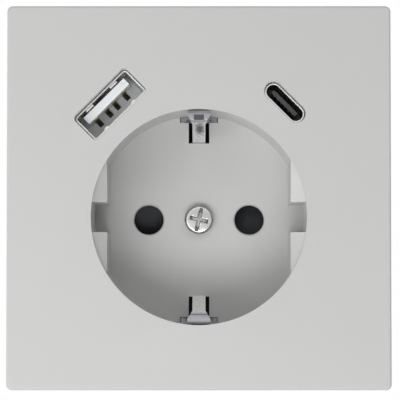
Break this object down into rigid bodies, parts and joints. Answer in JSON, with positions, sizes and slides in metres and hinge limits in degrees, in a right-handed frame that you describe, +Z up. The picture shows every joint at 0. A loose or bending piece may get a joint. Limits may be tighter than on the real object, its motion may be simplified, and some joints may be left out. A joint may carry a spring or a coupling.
{
  "type": "usb wall socket",
  "caption": "Flush-mounted earthed mains socket insert with a square cover plate, a round plug well with earth clips and shutter, and two angled USB charging ports.",
  "frame": {"origin": "middle of the flush box on the wall plane, between the two fixing slots, on the support ring's back face", "axes": "+X to the right and +Z up as a user sees the fixed socket, +Y into the wall, so the cover plate faces -Y"},
  "size_m": [0.07, 0.043, 0.07],
  "materials": {
    "plate_plastic": "smooth satin light grey thermoplastic",
    "screw_steel": "zinc-plated steel",
    "shutter_plastic": "black moulded plastic",
    "spring_steel": "bright spring steel",
    "tray_plastic": "dark moulded plastic",
    "ring_steel": "zinc-plated sheet steel",
    "base_plastic": "black moulded plastic",
    "rear_plastic": "light grey moulded plastic",
    "earth_metal": "nickel-plated bronze sheet",
    "rivet_brass": "plain brass",
    "contact_brass": "plain brass sheet",
    "live_button": "brown-red moulded plastic",
    "neutral_button": "blue moulded plastic",
    "earth_button": "green moulded plastic",
    "port_steel": "nickel-plated steel shell",
    "tongue_white": "white moulded plastic",
    "tongue_grey": "black moulded plastic",
    "port_contact": "gold-plated contacts",
    "board_green": "green solder mask on glass fibre",
    "board_black": "black solder mask on glass fibre",
    "header_black": "black moulded block with pins",
    "ferrite": "dark sintered ferrite",
    "bobbin_plastic": "black moulded plastic",
    "winding_tape": "yellow film tape over copper wire",
    "capacitor_black": "dark shrink sleeve on an aluminium can",
    "fuse_plastic": "dark brown moulded case",
    "chip_black": "black moulded package"
  },
  "bodies": {
    "base": {"cover_plate": "plate_plastic", "cover_screw": "screw_steel", "shutter_spring": "spring_steel", "shutter_tray": "tray_plastic", "support_ring": "ring_steel", "ring_screws": "screw_steel", "insert_base": "base_plastic", "rear_cover": "rear_plastic", "rear_screws": "screw_steel", "earth_bracket": "earth_metal", "bracket_rivets": "rivet_brass", "live_contact": "contact_brass", "neutral_contact": "contact_brass", "live_clamp_spring": "spring_steel", "neutral_clamp_spring": "spring_steel", "earth_clamp_spring": "spring_steel", "usb_a_shell": "port_steel", "usb_a_tongue": "tongue_white", "usb_a_contacts": "port_contact", "usb_c_shell": "port_steel", "usb_c_tongue": "tongue_grey", "usb_c_contacts": "port_contact", "usb_board": "board_black", "power_board": "board_green", "link_header": "header_black", "transformer_core": "ferrite", "transformer_bobbin": "bobbin_plastic", "transformer_winding": "winding_tape", "input_capacitor": "capacitor_black", "output_capacitors": "capacitor_black", "filter_choke": "ferrite", "input_fuse": "fuse_plastic", "bridge_rectifier": "chip_black", "power_chip": "chip_black", "charge_chip": "chip_black"},
    "shutter": {"shutter_rotor": "shutter_plastic"},
    "live_release": {"live_release": "live_button"},
    "neutral_release": {"neutral_release": "neutral_button"},
    "earth_release": {"earth_release": "earth_button"}
  },
  "joints": [
    {"name": "shutter_turn", "type": "hinge", "parent": "base", "child": "shutter", "pos_m": [0, 0.0115, -0.0035], "axis": [0, 1, 0], "range_deg": [0, 35], "stiffness_Nm_per_rad": 0.002, "deforming": ["shutter_spring"]},
    {"name": "live_release_push", "type": "slide", "parent": "base", "child": "live_release", "axis": [0, -1, 0], "range_m": [0, 0.0012], "stiffness_N_per_m": 400, "deforming": ["live_clamp_spring"]},
    {"name": "neutral_release_push", "type": "slide", "parent": "base", "child": "neutral_release", "axis": [0, -1, 0], "range_m": [0, 0.0012], "stiffness_N_per_m": 400, "deforming": ["neutral_clamp_spring"]},
    {"name": "earth_release_push", "type": "slide", "parent": "base", "child": "earth_release", "axis": [0, -1, 0], "range_m": [0, 0.0012], "stiffness_N_per_m": 400, "deforming": ["earth_clamp_spring"]}
  ]
}
